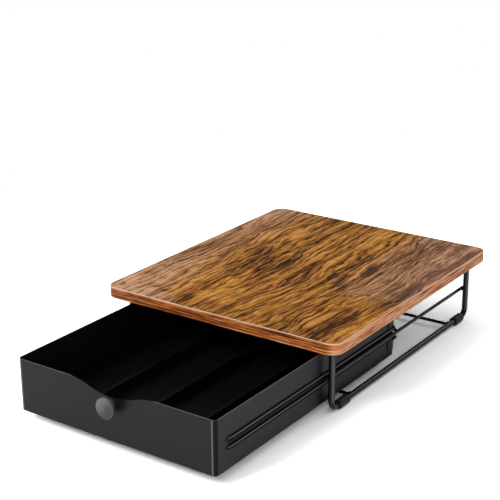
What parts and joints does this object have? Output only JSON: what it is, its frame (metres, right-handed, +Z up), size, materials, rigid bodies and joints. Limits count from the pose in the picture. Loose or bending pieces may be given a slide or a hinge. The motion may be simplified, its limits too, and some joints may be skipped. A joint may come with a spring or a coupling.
{
  "type": "coffee pod drawer",
  "caption": "Table-top drawer for coffee pods: wood-decor board on a black wire stand, with a matte black sheet-metal drawer that slides on wire rails.",
  "frame": {"origin": "on the table, under the middle of the footprint's bounding box with the drawer standing open as pictured", "axes": "+Z up, -Y towards the drawer's front and knob, X across the drawer"},
  "size_m": [0.356, 0.6234, 0.105],
  "materials": {
    "fibreboard": "raw fibreboard",
    "wood_decor": "satin printed rustic brown wood decor, grain front to back",
    "backing_paper": "plain matte brown backing sheet",
    "edge_decor": "satin reddish brown wood decor band, grain along the edge",
    "wire_paint": "satin black powder coat on steel wire",
    "drawer_paint": "matte black powder coat on steel sheet",
    "knob_paint": "matte dark grey paint on metal",
    "black_rubber": "matte black rubber",
    "zinc_steel": "zinc plated"
  },
  "bodies": {
    "stand": {"board_core": "fibreboard", "board_top_laminate": "wood_decor", "board_bottom_laminate": "backing_paper", "board_edge_band": "edge_decor", "side_frame_left": "wire_paint", "side_frame_right": "wire_paint", "front_cross_wire": "wire_paint", "rear_cross_wire": "wire_paint", "rail_left": "wire_paint", "rail_right": "wire_paint", "foot_sleeve_front_left": "black_rubber", "foot_sleeve_front_right": "black_rubber", "foot_sleeve_rear_left": "black_rubber", "foot_sleeve_rear_right": "black_rubber", "board_tab_front_left": "wire_paint", "board_tab_front_right": "wire_paint", "board_tab_rear_left": "wire_paint", "board_tab_rear_right": "wire_paint", "board_screws": "zinc_steel"},
    "drawer": {"drawer_wrap": "drawer_paint", "drawer_floor": "drawer_paint", "drawer_rear_panel": "drawer_paint", "lane_divider_left": "drawer_paint", "lane_divider_middle": "drawer_paint", "lane_divider_right": "drawer_paint", "knob": "knob_paint", "knob_screw": "zinc_steel", "knob_washer": "zinc_steel"}
  },
  "joints": [
    {"name": "drawer_slide", "type": "slide", "parent": "stand", "child": "drawer", "axis": [0, -1, 0], "range_m": [-0.196, 0.16489]}
  ]
}
